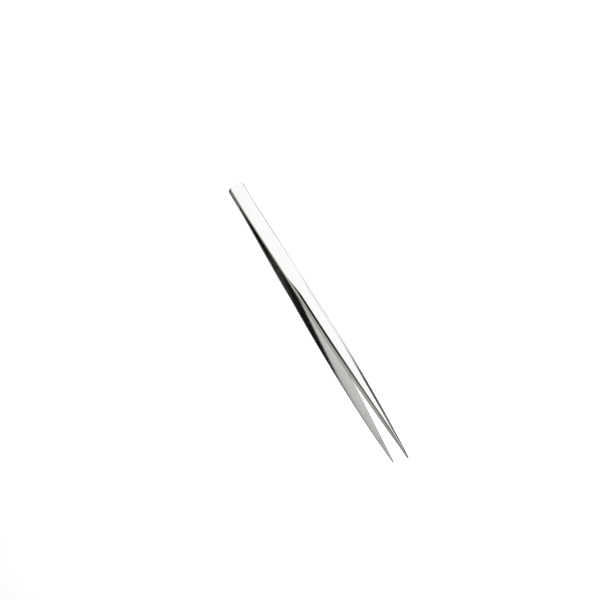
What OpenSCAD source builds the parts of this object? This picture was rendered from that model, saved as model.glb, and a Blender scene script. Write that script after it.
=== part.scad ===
// Long straight planting tweezers: two sprung steel arms joined at the tail.
// They lie on their side edges. X runs from the tail (-X) to the tips (+X),
// Y is the way the arms open, Z is the width of the steel strip.
// The origin is under the middle of the tweezers, on the surface they lie on.

/* [Overall] */
// Length from the tail end to the tips
overall_length = 270; // [250:1:300]
// Free gap between the inner faces at the tips, arms relaxed
tip_gap = 23; // [16:0.2:30]
// How strongly the arms bow: 1 is straight, higher is more bowed
arm_bow = 1.3; // [1.1:0.01:2]
// How far each tip is set inwards over its last 20 mm
tip_toe = 0.6; // [0:0.1:1]

/* [Steel strip] */
// Width of each arm over its handle half
strip_width = 14.4; // [10:0.1:16]
// Thickness of the strip
strip_thick = 1.8; // [1.2:0.1:2]
// Distance from the tail where the arm starts to narrow
taper_start = 122; // [110:1:170]
// Shape of the taper: 1 is straight, higher keeps the arm wide for longer
taper_power = 2; // [1.2:0.05:2.5]
// Width of the point
tip_width = 1.6; // [0.6:0.1:2]
// Thickness of the point
tip_thick = 0.9; // [0.5:0.1:1]

/* [Outer bevels] */
// Distance from the tail where the ground bevels start to show
bevel_start = 84; // [80:1:100]
// Distance over which they grow to full size
bevel_run = 24; // [15:1:40]
// Width of each bevel across the outer face
bevel_width = 2.35; // [1:0.05:3]
// Depth of each bevel down the side edge
bevel_depth = 1; // [0.5:0.05:1.1]

/* [Tail joint] */
// Length of the flat tail where both arms are joined
tail_length = 18; // [14:1:22]
// Thickness of the plate between the arms
spacer_thick = 1.2; // [1:0.1:2]
// Corner radius of the tail end
tail_radius = 3; // [2:0.5:5]
// Depth of the weld run in from the edges
weld_depth = 1.2; // [0.8:0.1:2]

/* [Gripping teeth] */
// Length of the ribbed stretch inside each tip
teeth_length = 24; // [12:1.2:36]
// Distance from rib to rib
teeth_pitch = 1.2; // [0.8:0.2:2]
// Depth of the grooves between the ribs
teeth_depth = 0.15; // [0.1:0.05:0.2]

/* [Hidden] */

L = overall_length;
zc = strip_width / 2;                 // middle of the strip's width
spring_end = bevel_start;             // the sprung stretch ends where the bevels start
bend_half = 6;                        // half the length of the bend where an arm leaves the tail
root = tail_length - 1 + bend_half;   // where the straight part of that bend points back to
thin_start = L - 35;                  // the strip is ground thinner from here to the point
edge_break = 0.08;                    // deburred edge, as a share of the full bevel

// soft start of the arm's curve: it leaves the tail tangentially
function run(d) = let (e = d - (root - bend_half))
    e <= 0 ? 0 : e < 2 * bend_half ? e * e / (4 * bend_half) : e - bend_half;
// the tips' inward set at d
function toe(d) = let (q = max(0, (d - (L - 20)) / 20)) tip_toe * q * q;
// inner face of an arm, measured from the mid plane, at distance d from the tail
function inner_y(d) = let (u = min(1, run(d) / (L - root)))
    spacer_thick / 2 - toe(d)
    + (tip_gap / 2 + tip_toe - spacer_thick / 2) * (1 - pow(1 - u, arm_bow));
// strip thickness at d
function thick(d) = d <= thin_start ? strip_thick
    : strip_thick + (tip_thick - strip_thick) * (d - thin_start) / (L - thin_start);
// strip width at d
function width(d) = let (v = max(0, (d - taper_start) / (L - taper_start)))
    tip_width + (strip_width - tip_width) * (1 - pow(v, taper_power));
// share of the full bevel at d
function bevel(d) = edge_break + (1 - edge_break) * max(0, min(1, (d - bevel_start) / bevel_run));
function bevel_w(d) = min(bevel_width * bevel(d), 0.38 * width(d));
function bevel_d(d) = min(bevel_depth * bevel(d), thick(d) - 0.45);
// one pitch of the ribbed stretch from d on: a flat rib, then a V groove
function rib(d, p) = [[d, 0], [d + 0.3 * p, 0], [d + 0.5 * p, teeth_depth], [d + 0.7 * p, 0]];

// six corners of the strip's section at d, with the inner face cut back by g
function section(d, g) = let (y = inner_y(d), t = thick(d), w = width(d), a = bevel_w(d), b = bevel_d(d))
    [[d, y + g, zc - w / 2],
     [d, y + t - b, zc - w / 2],
     [d, y + t, zc - w / 2 + a],
     [d, y + t, zc + w / 2 - a],
     [d, y + t - b, zc + w / 2],
     [d, y + g, zc + w / 2]];

// outline of the tail seen on its flat face, with its inner cut-back
module tail_outline(inset) {
    r = tail_radius - inset;
    translate([inset, inset]) union() {
        translate([r, 0]) square([tail_length - inset - r, strip_width - 2 * inset]);
        translate([0, r]) square([r, strip_width - 2 * inset - 2 * r]);
        translate([r, r]) circle(r = r, $fn = 48);
        translate([r, strip_width - 2 * inset - r]) circle(r = r, $fn = 48);
    }
}

// a plate with that outline, between y0 and y1
module tail_plate(y0, y1, inset) {
    translate([0, y1, 0]) rotate([90, 0, 0]) linear_extrude(height = y1 - y0) tail_outline(inset);
}

// flat end of an arm, in the tail
module arm_tang() {
    y0 = spacer_thick / 2;
    translate([-L / 2, 0, 0]) tail_plate(y0, y0 + strip_thick, 0);
}

// plain strip that bends when the arms are pinched
module arm_spring() {
    steps = 22;
    ds = [for (i = [0:steps]) tail_length + (spring_end - tail_length) * i / steps];
    translate([-L / 2, 0, 0]) linear_extrude(height = strip_width)
        polygon(concat([for (d = ds) [d, inner_y(d)]],
                       [for (i = [steps:-1:0]) [ds[i], inner_y(ds[i]) + strip_thick]]));
}

// a stretch of arm with its outer bevels, lofted through stations [distance, groove depth]
module arm_stretch(st) {
    n = len(st);
    pts = [for (s = st) each section(s[0], s[1])];
    sides = [for (i = [0:n - 2]) for (k = [0:5])
        let (k1 = (k + 1) % 6) [i * 6 + k, (i + 1) * 6 + k, (i + 1) * 6 + k1, i * 6 + k1]];
    caps = [[0, 1, 2, 3, 4, 5], [for (k = [5:-1:0]) (n - 1) * 6 + k]];
    translate([-L / 2, 0, 0]) polyhedron(points = pts, faces = concat(sides, caps), convexity = 4);
}
function stations(d0, d1, n) = [for (i = [0:n]) [d0 + (d1 - d0) * i / n, 0]];

// parallel stretch that the fingers hold, where the bevels grow
module arm_grip() { arm_stretch(stations(spring_end, taper_start, 16)); }

// tapering stretch
module arm_blade() { arm_stretch(stations(taper_start, L - teeth_length, 26)); }

// point, ribbed inside
module arm_tip() {
    teeth = floor(teeth_length / teeth_pitch);
    p = teeth_length / teeth;
    arm_stretch(concat([for (i = [0:teeth - 1]) each rib(L - teeth_length + p * i, p)], [[L, 0]]));
}

module left_arm_tang() { color("silver") arm_tang(); }
module left_arm_spring() { color("gainsboro") arm_spring(); }
module left_arm_grip() { color("whitesmoke") arm_grip(); }
module left_arm_blade() { color("whitesmoke") arm_blade(); }
module left_arm_tip() { color("gainsboro") arm_tip(); }
module right_arm_tang() { color("silver") mirror([0, 1, 0]) arm_tang(); }
module right_arm_spring() { color("gainsboro") mirror([0, 1, 0]) arm_spring(); }
module right_arm_grip() { color("lightgray") mirror([0, 1, 0]) arm_grip(); }
module right_arm_blade() { color("lightgray") mirror([0, 1, 0]) arm_blade(); }
module right_arm_tip() { color("silver") mirror([0, 1, 0]) arm_tip(); }

// plate between the two tangs
module tail_spacer() {
    color("darkgray") translate([-L / 2, 0, 0])
        tail_plate(-spacer_thick / 2, spacer_thick / 2, weld_depth);
}

// weld run round the tail, ground flush with the strip edges
module tail_weld() {
    color("gray") translate([-L / 2, 0, 0]) difference() {
        tail_plate(-spacer_thick / 2, spacer_thick / 2, 0);
        translate([0, 2, 0]) rotate([90, 0, 0]) linear_extrude(height = 4)
            tail_outline(weld_depth);
        translate([tail_length - 0.001, -2, weld_depth])
            cube([1, 4, strip_width - 2 * weld_depth]);
    }
}

left_arm_tang();
left_arm_spring();
left_arm_grip();
left_arm_blade();
left_arm_tip();
right_arm_tang();
right_arm_spring();
right_arm_grip();
right_arm_blade();
right_arm_tip();
tail_spacer();
tail_weld();
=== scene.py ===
"""Visual model of long straight planting tweezers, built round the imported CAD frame. Metres throughout."""

import math

import bmesh
import bpy
from mathutils import Matrix, Vector


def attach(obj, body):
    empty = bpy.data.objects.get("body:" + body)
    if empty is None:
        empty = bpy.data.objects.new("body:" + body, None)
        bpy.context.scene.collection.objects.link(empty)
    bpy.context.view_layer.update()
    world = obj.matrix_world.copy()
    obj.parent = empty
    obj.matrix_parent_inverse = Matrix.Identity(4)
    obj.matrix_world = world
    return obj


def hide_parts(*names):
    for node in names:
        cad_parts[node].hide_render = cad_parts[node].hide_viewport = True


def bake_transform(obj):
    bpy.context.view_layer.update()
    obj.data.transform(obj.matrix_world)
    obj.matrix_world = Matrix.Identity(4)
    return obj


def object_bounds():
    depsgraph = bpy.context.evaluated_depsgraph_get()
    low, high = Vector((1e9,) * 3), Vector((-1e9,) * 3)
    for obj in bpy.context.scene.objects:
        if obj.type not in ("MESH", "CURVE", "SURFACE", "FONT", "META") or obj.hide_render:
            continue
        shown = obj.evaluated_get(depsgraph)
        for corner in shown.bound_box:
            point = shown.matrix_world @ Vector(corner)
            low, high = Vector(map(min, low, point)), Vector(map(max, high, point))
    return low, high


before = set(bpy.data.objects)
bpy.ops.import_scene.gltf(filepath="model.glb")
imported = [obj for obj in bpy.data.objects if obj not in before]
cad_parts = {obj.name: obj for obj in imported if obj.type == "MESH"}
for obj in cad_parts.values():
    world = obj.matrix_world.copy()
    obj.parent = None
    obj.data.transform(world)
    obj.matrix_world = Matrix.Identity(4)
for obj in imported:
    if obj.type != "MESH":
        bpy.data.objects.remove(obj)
cad_lo, cad_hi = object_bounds()
scene = bpy.context.scene
MM = 0.001

# ------------------------------------------------------------------ sizes, in mm, as in the CAD part
LENGTH = (cad_hi.x - cad_lo.x) / MM
STRIP_W, STRIP_T = 14.4, 1.8
TIP_GAP, BOW, TOE = 23.0, 1.3, 0.6
TAPER0, TAPER_P = 122.0, 2.0
TIP_W, TIP_T = 1.6, 0.9
BEVEL0, BEVEL_RUN, BEVEL_W, BEVEL_D = 84.0, 24.0, 2.35, 1.0
TAIL, SPACER, TAIL_R = 18.0, 1.2, 3.0
TEETH_L, TEETH_P, TEETH_D = 24.0, 1.2, 0.15
ROOT, BEND = 23.0, 6.0
ZC = STRIP_W / 2
X0 = -LENGTH / 2


def run(d):
    e = d - (ROOT - BEND)
    if e <= 0:
        return 0.0
    return e * e / (4 * BEND) if e < 2 * BEND else e - BEND


def inner_y(d):
    u = min(1.0, run(d) / (LENGTH - ROOT))
    toe = TOE * max(0.0, (d - (LENGTH - 20)) / 20) ** 2
    return SPACER / 2 - toe + (TIP_GAP / 2 + TOE - SPACER / 2) * (1 - (1 - u) ** BOW)


def thick(d):
    t0 = LENGTH - 35
    return STRIP_T if d <= t0 else STRIP_T + (TIP_T - STRIP_T) * (d - t0) / 35


def width(d):
    v = max(0.0, (d - TAPER0) / (LENGTH - TAPER0))
    return TIP_W + (STRIP_W - TIP_W) * (1 - v**TAPER_P)


def bevel(d):
    t = max(0.0, min(1.0, (d - BEVEL0) / BEVEL_RUN))
    return 0.3 + 0.7 * t * t * (3 - 2 * t) if t < 1 else 1.0


def groove(d):
    """Depth of the gripping grooves at d: a flat rib, then a V groove in the middle of each pitch."""
    e = d - (LENGTH - TEETH_L)
    if e <= 0:
        return 0.0
    f = (e / TEETH_P) % 1.0
    return TEETH_D * (1 - min(1.0, abs(f - 0.5) / 0.2))


def smooth(a, b, x):
    t = max(0.0, min(1.0, (x - a) / (b - a)))
    return t * t * (3 - 2 * t)


# ------------------------------------------------------------------ an arm's section
ARC = {"in": 6, "side": 3, "face": 10}


def rounded(points, radii, steps, between):
    """Points round a closed polygon whose corners are arcs. between[i] extra points go on the edge after corner i."""
    n = len(points)
    arcs = []
    for i in range(n):
        p, a, b = Vector(points[i]), Vector(points[i - 1]), Vector(points[(i + 1) % n])
        u, v = (a - p), (b - p)
        lu, lv = u.length, v.length
        u.normalize()
        v.normalize()
        turn = math.pi - math.acos(max(-1, min(1, u.dot(v))))
        cut = min(radii[i] * math.tan(turn / 2), lu * 0.46, lv * 0.46)
        r = cut / max(math.tan(turn / 2), 1e-6)
        s, e = p + u * cut, p + v * cut
        nrm = Vector((-u.y, u.x))
        if nrm.dot(v) < 0:
            nrm = -nrm
        c = s + nrm * r
        a0 = math.atan2(s.y - c.y, s.x - c.x)
        a1 = math.atan2(e.y - c.y, e.x - c.x)
        da = (a1 - a0 + math.pi) % (2 * math.pi) - math.pi
        arcs.append(
            [
                c + r * Vector((math.cos(a0 + da * k / steps[i]), math.sin(a0 + da * k / steps[i])))
                for k in range(steps[i] + 1)
            ]
        )
    out, tags = [], []
    for i in range(n):
        for k, q in enumerate(arcs[i]):
            out.append(q)
            tags.append(("arc", i) if k < len(arcs[i]) - 1 else ("flat", i))
        s, e = arcs[i][-1], arcs[(i + 1) % n][0]
        for f in between[i]:
            out.append(s.lerp(e, f))
            tags.append(("flat", i))
    return out, tags


FLAT = (0.04, 0.2, 0.4, 0.6, 0.8, 0.96)
INNER = (0.03, 0.08, 0.14, 0.22, 0.32, 0.5, 0.68, 0.78, 0.86, 0.92, 0.97)
CROWN = 0.11  # the inner face falls back this far towards its edges
EDGE = (0.12, 0.5, 0.88)


def section(d, inset=0.0, squeeze=1.0):
    """Section of the left arm at distance d from the tail: (y, z) points in mm, counter-clockwise seen from the tips."""
    w, t, b = width(d), thick(d), bevel(d)
    if d < TAIL_R:
        w = STRIP_W - 2 * TAIL_R + 2 * math.sqrt(max(0.0, TAIL_R**2 - (TAIL_R - d) ** 2))
    bw, bd = min(BEVEL_W * b, 0.38 * w), min(BEVEL_D * b, t - 0.45)
    g = groove(d)
    a = w / 2 - inset
    lo, hi = g + inset, t - inset
    pts = [
        (lo, -a),
        (hi - bd, -a),
        (hi, -a + bw),
        (hi, a - bw),
        (hi - bd, a),
        (lo, a),
    ]
    grow = smooth(BEVEL0 + 2, BEVEL0 + BEVEL_RUN + 10, d)
    low_r = 0.25 + 5.6 * grow * (w / STRIP_W)
    high_r = 0.25 + 6.6 * grow * (w / STRIP_W) ** 1.6
    radii = [0.3, 0.5, low_r, high_r, 0.1, 0.3]
    steps = [ARC["in"], ARC["side"], ARC["face"], ARC["face"], ARC["side"], ARC["in"]]
    between = [EDGE, EDGE, FLAT, EDGE, EDGE, INNER]
    out, tags = rounded(pts, radii, steps, between)
    crown = CROWN * (w / STRIP_W) ** 2.5
    out = [Vector((q.x + crown * abs(q.y / a) ** 2.5, q.y)) if q.x - lo < 0.31 else q for q in out]
    if squeeze < 1.0:
        m = Vector(((lo + hi) / 2, 0.0))
        out = [m + (q - m) * squeeze for q in out]
    y0 = inner_y(d)
    return [(q.x + y0, q.y + ZC) for q in out], tags


def stations():
    st = []
    for inset, d in ((0.14, 0.0), (0.08, 0.015), (0.04, 0.05), (0.01, 0.1)):
        st.append((d, inset, 1.0))
    for k in range(18, 90, 6):
        st.append((TAIL_R * (1 - math.cos(math.radians(k))), 0.0, 1.0))
    d = TAIL_R
    while d < LENGTH - TEETH_L - 0.01:
        st.append((d, 0.0, 1.0))
        d += 1.5
    st.append((LENGTH - TEETH_L - 0.1, 0.0, 1.0))
    for i in range(int(round(TEETH_L / TEETH_P))):
        for f in (0.0, 0.15, 0.28, 0.32, 0.41, 0.48, 0.52, 0.59, 0.68, 0.72, 0.85):
            d = LENGTH - TEETH_L + (i + f) * TEETH_P
            if d < LENGTH - 0.46:
                st.append((d, 0.0, 1.0))
    for e in (0.45, 0.3, 0.18, 0.08, 0.02, 0.0):
        st.append((LENGTH - e, 0.0, math.sqrt(max(0.02, 1 - ((0.5 - e) / 0.5) ** 2))))
    return st


def arm_mesh(name, side, slots):
    """One arm as one closed skin. side is +1 for the left arm, -1 for the right. slots are materials by face kind."""
    bm = bmesh.new()
    co = bm.verts.layers.float_vector.new("strip_co")
    rings = []
    for d, inset, squeeze in stations():
        pts, tags = section(d, inset, squeeze)
        ring = []
        run_len = 0.0
        for k, (y, z) in enumerate(pts):
            if k:
                run_len += math.hypot(y - pts[k - 1][0], z - pts[k - 1][1])
            v = bm.verts.new(((X0 + d) * MM, side * y * MM, z * MM))
            v[co] = (d, z - ZC, y - inner_y(d))
            ring.append(v)
        rings.append(ring)
    m = len(rings[0])
    kind = {}
    for k in range(m):
        t, i = tags[k]
        if t == "flat":
            kind[k] = {0: 2, 1: 1, 2: 0, 3: 1, 4: 2, 5: 3}[i]
        else:
            kind[k] = {0: 2, 1: 1, 2: 0, 3: 0, 4: 1, 5: 2}[i]
    for a, b in zip(rings, rings[1:]):
        for k in range(m):
            q = (a[k], a[(k + 1) % m], b[(k + 1) % m], b[k])
            f = bm.faces.new(q if side < 0 else q[::-1])
            f.material_index = kind[k]
            f.smooth = True
    for ring, flip in ((rings[0], side > 0), (rings[-1], side < 0)):
        c = Vector((0, 0, 0))
        for v in ring:
            c += v.co
        cv = bm.verts.new(c / m)
        s = Vector((0, 0, 0))
        for v in ring:
            s += v[co]
        cv[co] = s / m
        for k in range(m):
            q = (ring[k], ring[(k + 1) % m], cv)
            f = bm.faces.new(q[::-1] if flip else q)
            f.material_index = 2
            f.smooth = False
    bmesh.ops.recalc_face_normals(bm, faces=bm.faces)
    me = bpy.data.meshes.new(name)
    bm.to_mesh(me)
    bm.free()
    ob = bpy.data.objects.new(name, me)
    scene.collection.objects.link(ob)
    for s in slots:
        me.materials.append(s)
    return ob


# ------------------------------------------------------------------ weld run round the tail
def weld_mesh(name, mat):
    """The weld run: follows the tail's outline, ground back so that it stays just inside the strip edges."""
    r, w = TAIL_R, STRIP_W
    path = []
    d = TAIL
    while d > r + 1e-6:
        path.append((d, 0.0, 0.0, -1.0))
        d -= 0.25
    n = 14
    for i in range(n + 1):
        a = math.pi / 2 * i / n
        path.append((r - r * math.sin(a), r - r * math.cos(a), -math.sin(a), -math.cos(a)))
    z = r + 0.25
    while z < w - r - 1e-6:
        path.append((0.0, z, -1.0, 0.0))
        z += 0.25
    for i in range(n + 1):
        a = math.pi / 2 * i / n
        path.append((r - r * math.cos(a), w - r + r * math.sin(a), -math.cos(a), math.sin(a)))
    d = r + 0.25
    while d < TAIL + 1e-6:
        path.append((min(d, TAIL), w, 0.0, 1.0))
        d += 0.25
    bm = bmesh.new()
    co = bm.verts.layers.float_vector.new("strip_co")
    half = SPACER / 2
    ys = [-half, -half * 0.8, -half * 0.45, 0.0, half * 0.45, half * 0.8, half]
    rings, along = [], 0.0
    for i, (d, z, nx, nz) in enumerate(path):
        if i:
            along += math.hypot(d - path[i - 1][0], z - path[i - 1][1])
        ring = []
        for y in ys:
            e = abs(y) / half
            ripple = 0.035 * math.sin((along + 0.35 * e * e) / 0.8 * 2 * math.pi)
            sink = 0.06 + 0.10 * e**4 + ripple * (1 - e**2)
            v = bm.verts.new(((X0 + d - nx * sink) * MM, y * MM, (z - nz * sink) * MM))
            v[co] = (along, y, 0.0)
            ring.append(v)
        for y in (half, -half):
            v = bm.verts.new(((X0 + d - nx * 1.2) * MM, y * MM, (z - nz * 1.2) * MM))
            v[co] = (along, y, 0.0)
            ring.append(v)
        rings.append(ring)
    m = len(rings[0])
    for a, b in zip(rings, rings[1:]):
        for k in range(m):
            f = bm.faces.new((a[k], a[(k + 1) % m], b[(k + 1) % m], b[k]))
            f.smooth = k < m - 3
    for ring in (rings[0], rings[-1]):
        bm.faces.new(ring)
    bmesh.ops.recalc_face_normals(bm, faces=bm.faces)
    me = bpy.data.meshes.new(name)
    bm.to_mesh(me)
    bm.free()
    ob = bpy.data.objects.new(name, me)
    scene.collection.objects.link(ob)
    me.materials.append(mat)
    return ob


# ------------------------------------------------------------------ materials
class Nodes:
    def __init__(self, tree):
        self.t = tree
        self.x = -1400

    def new(self, kind, **props):
        n = self.t.nodes.new(kind)
        n.location = (self.x, 0)
        self.x += 60
        for k, v in props.items():
            setattr(n, k, v)
        return n

    def link(self, a, b):
        self.t.links.new(a, b)

    def math(self, op, a, b=None, c=None, clamp=False):
        n = self.new("ShaderNodeMath", operation=op, use_clamp=clamp)
        for i, v in enumerate((a, b, c)):
            if v is None:
                continue
            if isinstance(v, (int, float)):
                n.inputs[i].default_value = v
            else:
                self.link(v, n.inputs[i])
        return n.outputs[0]

    def ramp(self, fac, stops, mode="LINEAR"):
        n = self.new("ShaderNodeValToRGB")
        n.color_ramp.interpolation = mode
        while len(n.color_ramp.elements) < len(stops):
            n.color_ramp.elements.new(0.5)
        for e, (p, c) in zip(n.color_ramp.elements, stops):
            e.position = p
            e.color = (*c, 1) if len(c) == 3 else c
        self.link(fac, n.inputs[0])
        return n.outputs[0]

    def rng(self, v, a, b, c, d, kind="SMOOTHSTEP"):
        n = self.new("ShaderNodeMapRange", interpolation_type=kind)
        self.link(v, n.inputs["Value"])
        for k, x in (("From Min", a), ("From Max", b), ("To Min", c), ("To Max", d)):
            n.inputs[k].default_value = x
        return n.outputs["Result"]


def steel(name, base, vary, rough, rough_vary, grain, grain_mm, bump, smudge, across=False, streak=0.0):
    """Steel with a drawn grain along the strip (or across it), patchy polish and faint smudges, all in mm of the strip."""
    mat = bpy.data.materials.new(name)
    mat.use_nodes = True
    nt = mat.node_tree
    nt.nodes.clear()
    N = Nodes(nt)
    out = N.new("ShaderNodeOutputMaterial")
    bsdf = N.new("ShaderNodeBsdfPrincipled")
    N.link(bsdf.outputs[0], out.inputs[0])
    bsdf.inputs["Metallic"].default_value = 1.0
    bsdf.inputs["Base Color"].default_value = (*base, 1)
    if streak:
        # the drawn grain spreads reflections across the strip
        bsdf.inputs["Anisotropic"].default_value = streak
        t = N.new("ShaderNodeCombineXYZ")
        t.inputs[2].default_value = 1.0
        N.link(t.outputs[0], bsdf.inputs["Tangent"])
    at = N.new("ShaderNodeAttribute", attribute_name="strip_co")
    vec = at.outputs["Vector"]

    def noise(scale_vec, detail, rough_, dist=0.0, offset=(0, 0, 0)):
        m = N.new("ShaderNodeMapping")
        m.inputs["Scale"].default_value = scale_vec
        m.inputs["Location"].default_value = offset
        N.link(vec, m.inputs["Vector"])
        n = N.new("ShaderNodeTexNoise")
        n.inputs["Scale"].default_value = 1.0
        n.inputs["Detail"].default_value = detail
        n.inputs["Roughness"].default_value = rough_
        n.inputs["Distortion"].default_value = dist
        N.link(m.outputs[0], n.inputs["Vector"])
        return n.outputs["Fac"]

    f = 1.0 / grain_mm
    sc = (f * 0.02, f, f) if not across else (f, f * 0.04, f * 0.04)
    lines = noise(sc, 3.0, 0.6)
    fine = noise(tuple(s * 3.1 for s in sc), 2.0, 0.5, offset=(3.1, 7.7, 1.3))
    cloud = noise((0.09, 0.22, 0.22), 3.0, 0.55, 0.4, offset=(11.0, 5.0, 2.0))
    patch = noise((0.5, 0.9, 0.9), 4.0, 0.6, 0.8, offset=(1.0, 9.0, 4.0))
    # colour: slightly darker in the grain's valleys and in cloudy patches
    g = N.math("MULTIPLY_ADD", lines, grain, 1 - grain / 2)
    c = N.rng(cloud, 0.3, 0.7, 1 - vary, 1.0)
    k = N.math("MULTIPLY", g, c)
    mix = N.new("ShaderNodeMix", data_type="RGBA", blend_type="MULTIPLY")
    mix.inputs["Factor"].default_value = 1.0
    mix.inputs["A"].default_value = (*base, 1)
    comb = N.new("ShaderNodeCombineColor")
    for i in range(3):
        N.link(k, comb.inputs[i])
    N.link(comb.outputs[0], mix.inputs["B"])
    N.link(mix.outputs["Result"], bsdf.inputs["Base Color"])
    # roughness: base, smudges and grain
    s = N.rng(patch, 0.45, 0.75, 0.0, smudge)
    r = N.math("MULTIPLY_ADD", cloud, rough_vary, rough - rough_vary / 2)
    r = N.math("ADD", r, s)
    r = N.math("MULTIPLY_ADD", lines, rough_vary * 0.6, r)
    r = N.math("MAXIMUM", r, 0.03)
    N.link(r, bsdf.inputs["Roughness"])
    h = N.math("MULTIPLY_ADD", fine, 0.5, lines)
    b = N.new("ShaderNodeBump")
    b.inputs["Strength"].default_value = bump
    b.inputs["Distance"].default_value = 0.00002
    N.link(h, b.inputs["Height"])
    N.link(b.outputs[0], bsdf.inputs["Normal"])
    return mat


outer = steel("steel_polished", (0.845, 0.84, 0.83), 0.03, 0.07, 0.03, 0.02, 0.25, 0.10, 0.05)
bevel_m = steel("steel_bevel", (0.86, 0.855, 0.83), 0.05, 0.13, 0.04, 0.05, 0.18, 0.18, 0.04)
edge_m = steel("steel_edge", (0.80, 0.79, 0.76), 0.07, 0.22, 0.06, 0.08, 0.12, 0.30, 0.05)
inner_m = steel("steel_satin", (0.517, 0.512, 0.499), 0.07, 0.107, 0.04, 0.08, 0.11, 0.14, 0.04)
spacer_m = steel("steel_spacer", (0.66, 0.65, 0.62), 0.08, 0.30, 0.06, 0.08, 0.12, 0.3, 0.05)
weld_m = steel("steel_weld", (0.62, 0.60, 0.56), 0.20, 0.34, 0.12, 0.10, 0.30, 0.5, 0.10)

# ------------------------------------------------------------------ pieces
for side, who in ((1, "left"), (-1, "right")):
    arm = arm_mesh(who + "_arm", side, [outer, bevel_m, edge_m, inner_m])
    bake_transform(arm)
    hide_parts(*(f"{who}_arm_{p}" for p in ("tang", "spring", "grip", "blade", "tip")))

weld = weld_mesh("weld_run", weld_m)
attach(weld, "tail")
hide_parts("tail_weld")

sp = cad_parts["tail_spacer"]
sp.data.materials.clear()
sp.data.materials.append(spacer_m)

# ------------------------------------------------------------------ floor
bm = bmesh.new()
bmesh.ops.create_grid(bm, x_segments=8, y_segments=8, size=6.0)
me = bpy.data.meshes.new("floor")
bm.to_mesh(me)
bm.free()
floor = bpy.data.objects.new("floor", me)
floor.location = (0, 0, -0.0001)
scene.collection.objects.link(floor)
fm = bpy.data.materials.new("floor_white")
fm.use_nodes = True
fb = fm.node_tree.nodes["Principled BSDF"]
fb.inputs["Base Color"].default_value = (0.9, 0.9, 0.9, 1)
fb.inputs["Roughness"].default_value = 0.9
fb.inputs["Specular IOR Level"].default_value = 0.1
fb.inputs["Emission Color"].default_value = (1, 1, 1, 1)
fb.inputs["Emission Strength"].default_value = 0.5
floor.data.materials.append(fm)
floor.visible_glossy = False

# ------------------------------------------------------------------ studio: a light tent with dark strips, as bright metal is photographed
world = bpy.data.worlds.new("studio")
scene.world = world
world.use_nodes = True
wt = world.node_tree
wt.nodes.clear()
W = Nodes(wt)
wo = W.new("ShaderNodeOutputWorld")
bg = W.new("ShaderNodeBackground")
W.link(bg.outputs[0], wo.inputs[0])
tc = W.new("ShaderNodeTexCoord")
sep = W.new("ShaderNodeSeparateXYZ")
W.link(tc.outputs["Generated"], sep.inputs[0])
dx, dy, dz = sep.outputs
phi = W.math("ARCTAN2", dz, dy)
phi = W.math("MULTIPLY", phi, 180 / math.pi)



def grey(stops):
    return [((x + 1.0) / 2.0, (v, v, v)) for x, v in stops]


across = W.math("MULTIPLY_ADD", dx, 0.5, 0.5)
# low directions in front, straight below and behind: bright, each with its own dark stretches along x
ahead = W.ramp(across, grey([(-1.0, 1.0), (0.218, 1.0), (0.229, 0.01), (0.46, 0.01), (0.56, 0.4), (1.0, 0.6)]))
below = W.ramp(
    across,
    grey(
        [
            (-1.0, 0.6),
            (-0.3, 0.5),
            (-0.2, 0.05),
            (-0.115, 0.05),
            (-0.095, 1.0),
            (-0.08, 1.0),
            (-0.062, 0.8),
            (-0.045, 0.8),
            (-0.03, 0.9),
            (0.0, 0.9),
            (0.017, 0.78),
            (0.033, 0.42),
            (0.044, 0.01),
            (0.074, 0.01),
            (0.09, 0.06),
            (0.115, 0.14),
            (0.3, 0.2),
            (0.5, 0.5),
            (1.0, 0.6),
        ]
    ),
)
behind = W.ramp(across, grey([(-1.0, 1.0), (0.02, 1.0), (0.09, 0.01), (0.26, 0.01), (0.34, 0.1), (0.42, 0.28), (0.55, 0.45), (1.0, 0.6)]))
soft = W.ramp(across, grey([(-1.0, 0.7), (1.0, 0.7)]))


def blend(fac, a, b):
    n = W.new("ShaderNodeMix", data_type="RGBA")
    W.link(fac, n.inputs["Factor"])
    W.link(a, n.inputs["A"])
    W.link(b, n.inputs["B"])
    return n.outputs["Result"]


low = blend(W.rng(phi, -43, -36, 1.0, 0.0), ahead, below)
low = blend(W.rng(phi, -130, -110, 1.0, 0.0), low, behind)
low = blend(W.rng(phi, -166, -157, 1.0, 0.0), low, soft)
# front horizon: a dark strip; above it a dim stretch, the bright top, a dim back
band = W.ramp(
    W.math("MULTIPLY_ADD", phi, 1 / 360.0, 0.5),
    [
        (0.0, (0.02, 0.02, 0.02)),
        (0.03, (0.02, 0.02, 0.02)),
        (0.06, (1, 1, 1)),
        (0.105, (1, 1, 1)),
        (0.115, (0.01, 0.01, 0.01)),
        (0.235, (0.01, 0.01, 0.01)),
        (0.25, (1, 1, 1)),
        (0.417, (1, 1, 1)),
        (0.4225, (0.008, 0.008, 0.008)),
        (0.518, (0.008, 0.008, 0.008)),
        (0.53, (0.38, 0.378, 0.37)),
        (0.64, (0.42, 0.42, 0.407)),
        (0.70, (0.5, 0.5, 0.5)),
        (0.82, (0.5, 0.5, 0.5)),
        (0.87, (0.006, 0.006, 0.006)),
        (0.942, (0.006, 0.006, 0.006)),
        (0.952, (0.25, 0.25, 0.245)),
        (0.965, (0.25, 0.25, 0.245)),
        (0.985, (0.02, 0.02, 0.02)),
    ],
)
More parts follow.
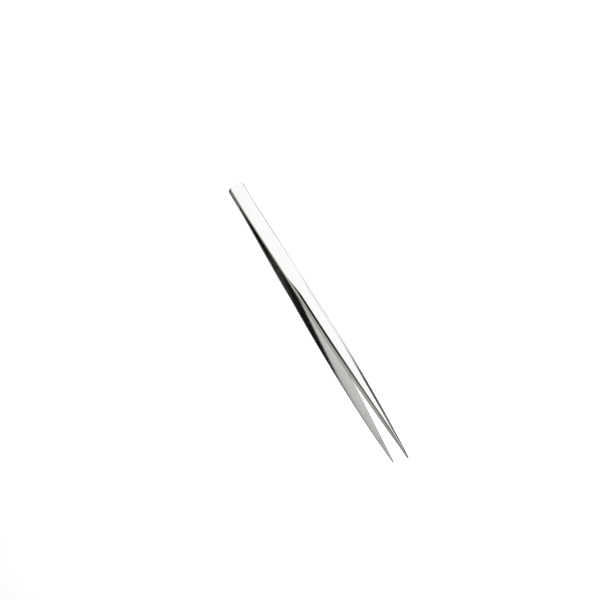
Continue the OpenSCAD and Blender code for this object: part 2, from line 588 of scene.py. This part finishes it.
# the dark strip lightens towards both sides
hat = W.math("MULTIPLY", W.rng(phi, -30, -26, 0.0, 1.0), W.rng(phi, 6, 12, 1.0, 0.0))
aside = W.math("ADD", W.rng(dx, -0.26, -0.14, 0.5, 0.0), W.rng(dx, 0.15, 0.3, 0.0, 0.3))
lift = W.math("MULTIPLY", hat, W.math("ADD", aside, W.rng(dx, -0.03, 0.01, 0.0, 0.08)))
hat = W.math("MULTIPLY", W.rng(phi, 128, 134, 0.0, 1.0), W.rng(phi, 156, 162, 1.0, 0.0))
lift = W.math("ADD", lift, W.math("MULTIPLY", hat, W.math("ADD", W.rng(dx, -0.02, 0.04, 0.0, 0.04), W.rng(dx, 0.08, 0.15, 0.0, 0.14))))
# and the dim stretch above it darkens there
hat = W.math("MULTIPLY", W.rng(phi, 8, 12, 0.0, 1.0), W.rng(phi, 60, 80, 1.0, 0.0))
lift = W.math("SUBTRACT", lift, W.math("MULTIPLY", hat, W.rng(dx, 0.085, 0.14, 0.0, 0.13)))
is_low = W.rng(dz, -0.02, 0.0, 1.0, 0.0, "LINEAR")
white = W.new("ShaderNodeRGB")
white.outputs[0].default_value = (1, 1, 1, 1)
shade = blend(is_low, white.outputs[0], low)
m1 = W.new("ShaderNodeMix", data_type="RGBA", blend_type="MULTIPLY")
m1.inputs["Factor"].default_value = 1.0
W.link(band, m1.inputs["A"])
W.link(shade, m1.inputs["B"])
m2 = W.new("ShaderNodeMix", data_type="RGBA", blend_type="ADD")
m2.inputs["Factor"].default_value = 1.0
W.link(m1.outputs["Result"], m2.inputs["A"])
cc = W.new("ShaderNodeCombineColor")
for i in range(3):
    W.link(lift, cc.inputs[i])
W.link(cc.outputs[0], m2.inputs["B"])
W.link(m2.outputs["Result"], bg.inputs["Color"])
bg.inputs["Strength"].default_value = 1.2

top = bpy.data.lights.new("top_soft", "AREA")
top.shape = "RECTANGLE"
top.size, top.size_y = 1.6, 1.6
top.energy = 14
to = bpy.data.objects.new("top_soft", top)
to.location = (-0.1, 0.25, 1.2)
to.rotation_euler = (math.radians(-12), 0, 0)
to.visible_glossy = False
scene.collection.objects.link(to)

# ------------------------------------------------------------------ camera: fitted to the edges of the photographed arms
AZ, EL, ROLL = (math.radians(a) for a in (-0.1681, 31.4971, -121.2491))
DIST, FOCAL_PX, OFF = 0.9, 1069.0, (17.7, -23.07)
back = Vector((math.sin(AZ) * math.cos(EL), math.cos(AZ) * math.cos(EL), math.sin(EL)))
right0 = Vector((0, 0, 1)).cross(back).normalized()
up0 = back.cross(right0)
right = math.cos(ROLL) * right0 + math.sin(ROLL) * up0
up = -math.sin(ROLL) * right0 + math.cos(ROLL) * up0
centre = Vector((0, 0, ZC * MM))
pos = centre - (OFF[0] * DIST / FOCAL_PX) * right - (OFF[1] * DIST / FOCAL_PX) * up + DIST * back
cam_data = bpy.data.cameras.new("camera")
cam_data.sensor_width = 36.0
cam_data.lens = FOCAL_PX / 600 * 36.0
cam_data.clip_start, cam_data.clip_end = 0.01, 50
cam = bpy.data.objects.new("camera", cam_data)
cam.matrix_world = Matrix(
    (
        (right.x, up.x, back.x, pos.x),
        (right.y, up.y, back.y, pos.y),
        (right.z, up.z, back.z, pos.z),
        (0, 0, 0, 1),
    )
)
scene.collection.objects.link(cam)
scene.camera = cam
scene.view_settings.view_transform = "Standard"
scene.view_settings.look = "None"

bpy.context.view_layer.update()
